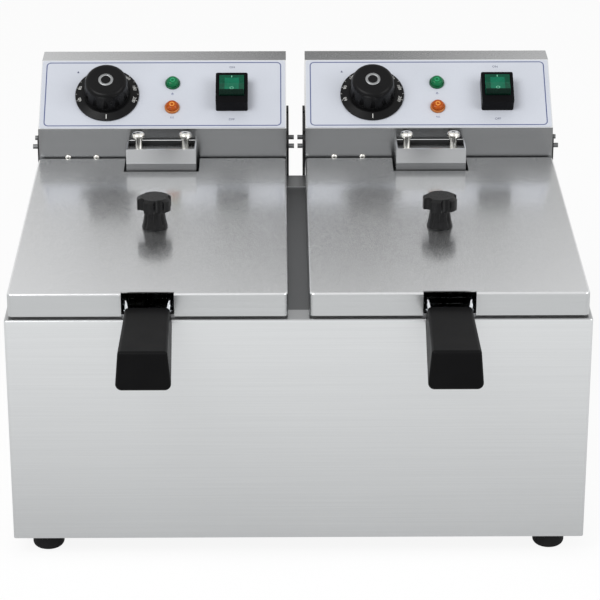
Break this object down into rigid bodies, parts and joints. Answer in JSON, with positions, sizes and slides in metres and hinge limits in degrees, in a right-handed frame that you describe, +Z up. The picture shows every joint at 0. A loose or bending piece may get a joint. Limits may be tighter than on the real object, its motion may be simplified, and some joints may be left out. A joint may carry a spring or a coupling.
{
  "type": "deep fryer",
  "caption": "Table-top electric deep fryer: steel casing with side-by-side oil tanks, flat lids with black knobs, wire baskets with black grips and lift-off control heads.",
  "frame": {"origin": "on the table, under the middle of the overall box", "axes": "+Z up, -Y towards the user (basket grips), +X to the right seen from the front"},
  "size_m": [0.5698, 0.614, 0.3705],
  "materials": {
    "brushed_steel": "brushed",
    "tank_steel": "satin",
    "chromed_wire": "polished",
    "element_sheath": "matt",
    "plated_screw": "polished",
    "black_paint": "satin",
    "black_plastic": "satin",
    "rubber": "matt",
    "panel_film": "semi-gloss",
    "green_lens": "gloss",
    "amber_lens": "gloss",
    "pale_plastic": "satin"
  },
  "bodies": {
    "fryer_base": {"casing": "brushed_steel", "base_plate": "tank_steel", "centre_divider": "brushed_steel", "feet": "rubber", "foot_screws": "plated_screw", "head_guide_plates": "black_paint"},
    "left_oil_tank": {"left_oil_tank": "tank_steel"},
    "left_head": {"left_head_housing": "brushed_steel", "left_head_rear_cover": "brushed_steel", "left_panel_overlay": "panel_film", "left_thermostat": "pale_plastic", "left_power_lamp": "green_lens", "left_heat_lamp": "amber_lens", "left_switch_frame": "black_plastic", "left_element_neck": "brushed_steel", "left_neck_screws": "plated_screw", "left_heating_element": "element_sheath", "left_element_bars": "tank_steel", "left_sensor_bulbs": "tank_steel", "left_limiter": "pale_plastic", "left_terminal_block": "pale_plastic", "left_face_screws": "plated_screw", "left_guide_studs": "plated_screw", "left_cord_gland": "black_plastic"},
    "left_dial": {"left_dial_knob": "black_plastic", "left_dial_spindle": "plated_screw"},
    "left_rocker": {"left_rocker": "green_lens"},
    "left_basket": {"left_basket_mesh": "chromed_wire", "left_basket_frame": "chromed_wire", "left_basket_grip": "black_plastic"},
    "left_lid": {"left_lid": "brushed_steel", "left_lid_knob": "black_plastic", "left_lid_knob_screw": "plated_screw"},
    "right_oil_tank": {"right_oil_tank": "tank_steel"},
    "right_head": {"right_head_housing": "brushed_steel", "right_head_rear_cover": "brushed_steel", "right_panel_overlay": "panel_film", "right_thermostat": "pale_plastic", "right_power_lamp": "green_lens", "right_heat_lamp": "amber_lens", "right_switch_frame": "black_plastic", "right_element_neck": "brushed_steel", "right_neck_screws": "plated_screw", "right_heating_element": "element_sheath", "right_element_bars": "tank_steel", "right_sensor_bulbs": "tank_steel", "right_limiter": "pale_plastic", "right_terminal_block": "pale_plastic", "right_face_screws": "plated_screw", "right_guide_studs": "plated_screw", "right_cord_gland": "black_plastic"},
    "right_dial": {"right_dial_knob": "black_plastic", "right_dial_spindle": "plated_screw"},
    "right_rocker": {"right_rocker": "green_lens"},
    "right_basket": {"right_basket_mesh": "chromed_wire", "right_basket_frame": "chromed_wire", "right_basket_grip": "black_plastic"},
    "right_lid": {"right_lid": "brushed_steel", "right_lid_knob": "black_plastic", "right_lid_knob_screw": "plated_screw"}
  },
  "joints": [
    {"name": "left_tank_lift", "type": "slide", "parent": "fryer_base", "child": "left_oil_tank", "axis": [0, 0, 1], "range_m": [0, 0.22]},
    {"name": "left_head_lift", "type": "slide", "parent": "left_oil_tank", "child": "left_head", "axis": [0, 0, 1], "range_m": [0, 0.2]},
    {"name": "left_basket_lift", "type": "slide", "parent": "left_head", "child": "left_basket", "axis": [0, 0, 1], "range_m": [0, 0.17]},
    {"name": "left_lid_lift", "type": "slide", "parent": "left_basket", "child": "left_lid", "axis": [0, 0, 1], "range_m": [0, 0.12]},
    {"name": "left_dial_turn", "type": "hinge", "parent": "left_head", "child": "left_dial", "pos_m": [-0.20385, 0.21725, 0.33564], "axis": [0, -0.5669, 0.8238], "range_deg": [-135, 145]},
    {"name": "left_rocker_tilt", "type": "hinge", "parent": "left_head", "child": "left_rocker", "pos_m": [-0.06895, 0.21193, 0.34655], "axis": [1, 0, 0], "range_deg": [0, 18]},
    {"name": "right_tank_lift", "type": "slide", "parent": "fryer_base", "child": "right_oil_tank", "axis": [0, 0, 1], "range_m": [0, 0.22]},
    {"name": "right_head_lift", "type": "slide", "parent": "right_oil_tank", "child": "right_head", "axis": [0, 0, 1], "range_m": [0, 0.2]},
    {"name": "right_basket_lift", "type": "slide", "parent": "right_head", "child": "right_basket", "axis": [0, 0, 1], "range_m": [0, 0.17]},
    {"name": "right_lid_lift", "type": "slide", "parent": "right_basket", "child": "right_lid", "axis": [0, 0, 1], "range_m": [0, 0.12]},
    {"name": "right_dial_turn", "type": "hinge", "parent": "right_head", "child": "right_dial", "pos_m": [0.08285, 0.21725, 0.33564], "axis": [0, -0.5669, 0.8238], "range_deg": [-135, 145]},
    {"name": "right_rocker_tilt", "type": "hinge", "parent": "right_head", "child": "right_rocker", "pos_m": [0.21775, 0.21193, 0.34655], "axis": [1, 0, 0], "range_deg": [0, 18]}
  ]
}
